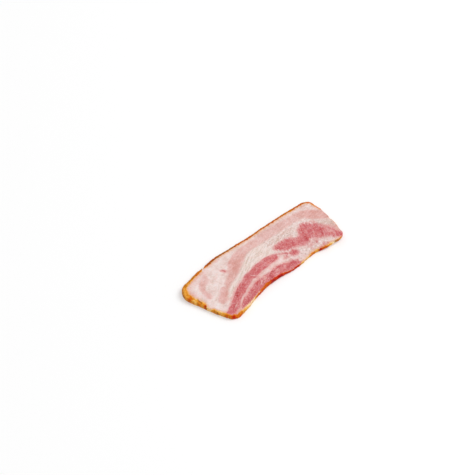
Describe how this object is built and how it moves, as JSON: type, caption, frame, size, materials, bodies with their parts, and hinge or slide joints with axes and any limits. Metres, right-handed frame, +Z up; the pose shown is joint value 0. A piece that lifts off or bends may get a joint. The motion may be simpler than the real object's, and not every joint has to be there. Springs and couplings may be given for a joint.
{
  "type": "smoked bacon slice",
  "caption": "Thin slice of smoked pork belly lying flat, gently bent, with streaks of lean and fat, a golden rind along its outer edge and a browned crust on the edges facing it.",
  "frame": {"origin": "middle of the slice's outline as seen from above, on the surface that it lies on", "axes": "+X along the slice from its browned end to its cut end, +Y towards the rind, +Z up"},
  "size_m": [0.1656, 0.0664, 0.0058],
  "materials": {
    "smoked_bacon": "moist, satin"
  },
  "bodies": {
    "root": {"bacon_slice": "smoked_bacon"}
  },
  "joints": []
}
